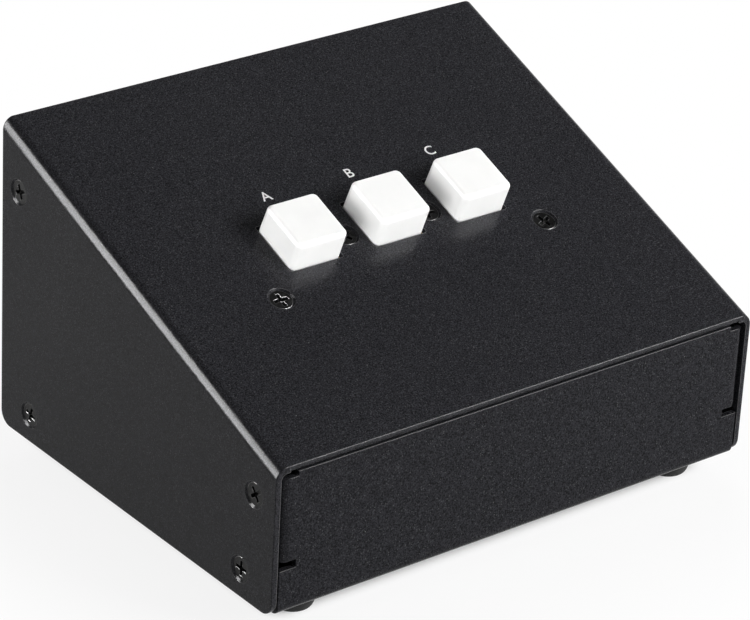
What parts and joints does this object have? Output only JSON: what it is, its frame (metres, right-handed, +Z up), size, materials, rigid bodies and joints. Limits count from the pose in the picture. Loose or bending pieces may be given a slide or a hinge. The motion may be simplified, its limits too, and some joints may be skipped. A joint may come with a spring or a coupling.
{
  "type": "studio monitor switcher",
  "caption": "Wedge-shaped desk box with square push keys on a sloped panel that switch a stereo input to pairs of loudspeakers through jack sockets at the rear.",
  "frame": {"origin": "on the table, under the middle of the object's width and depth", "axes": "+X to the right along the row of keys, +Y to the rear panel, +Z up"},
  "size_m": [0.116, 0.095, 0.0701],
  "materials": {
    "cover_paint": "fine-grained satin black powder coat",
    "tray_paint": "fine-grained satin black powder coat",
    "screw_black": "black oxide",
    "key_white": "moulded, soft sheen",
    "rubber": "matt",
    "board": "solder mask",
    "switch_body": "moulded",
    "switch_stem": "moulded",
    "jack_body": "moulded",
    "connector": "moulded",
    "ribbon": "ribbed",
    "brass": "plain",
    "nickel": "nickel plate",
    "spring_steel": "drawn wire"
  },
  "bodies": {
    "case": {"top_cover": "cover_paint", "chassis_tray": "tray_paint", "side_screws": "screw_black", "panel_screws": "screw_black", "board_screws": "nickel", "side_nuts": "nickel", "standoffs": "brass", "switch_board": "board", "jack_board": "board", "jack_washers": "nickel", "jack_nuts": "nickel", "switch_header": "connector", "jack_header": "connector", "switch_ribbon_plug": "connector", "jack_ribbon_plug": "connector", "ribbon_cable": "ribbon", "rubber_feet": "rubber", "switch_body_a": "switch_body", "switch_base_a": "switch_body", "switch_pins_a": "brass", "return_spring_a": "spring_steel", "latch_wire_a": "spring_steel", "switch_body_b": "switch_body", "switch_base_b": "switch_body", "switch_pins_b": "brass", "return_spring_b": "spring_steel", "latch_wire_b": "spring_steel", "switch_body_c": "switch_body", "switch_base_c": "switch_body", "switch_pins_c": "brass", "return_spring_c": "spring_steel", "latch_wire_c": "spring_steel", "jack_input_right": "jack_body", "jack_leaves_input_right": "brass", "jack_input_left": "jack_body", "jack_leaves_input_left": "brass", "jack_a_right": "jack_body", "jack_leaves_a_right": "brass", "jack_a_left": "jack_body", "jack_leaves_a_left": "brass", "jack_b_right": "jack_body", "jack_leaves_b_right": "brass", "jack_b_left": "jack_body", "jack_leaves_b_left": "brass", "jack_c_right": "jack_body", "jack_leaves_c_right": "brass", "jack_c_left": "jack_body", "jack_leaves_c_left": "brass"},
    "key_a": {"key_cap_a": "key_white", "plunger_a": "switch_stem", "contact_clip_a": "brass"},
    "key_b": {"key_cap_b": "key_white", "plunger_b": "switch_stem", "contact_clip_b": "brass"},
    "key_c": {"key_cap_c": "key_white", "plunger_c": "switch_stem", "contact_clip_c": "brass"}
  },
  "joints": [
    {"name": "key_a_press", "type": "slide", "parent": "case", "child": "key_a", "axis": [0, 0.3624, -0.932], "range_m": [0, 0.0035], "stiffness_N_per_m": 300, "springref_m": -0.003, "deforming": ["return_spring_a"]},
    {"name": "key_b_press", "type": "slide", "parent": "case", "child": "key_b", "axis": [0, 0.3624, -0.932], "range_m": [0, 0.0035], "stiffness_N_per_m": 300, "springref_m": -0.003, "deforming": ["return_spring_b"]},
    {"name": "key_c_press", "type": "slide", "parent": "case", "child": "key_c", "axis": [0, 0.3624, -0.932], "range_m": [0, 0.0035], "stiffness_N_per_m": 300, "springref_m": -0.003, "deforming": ["return_spring_c"]}
  ]
}
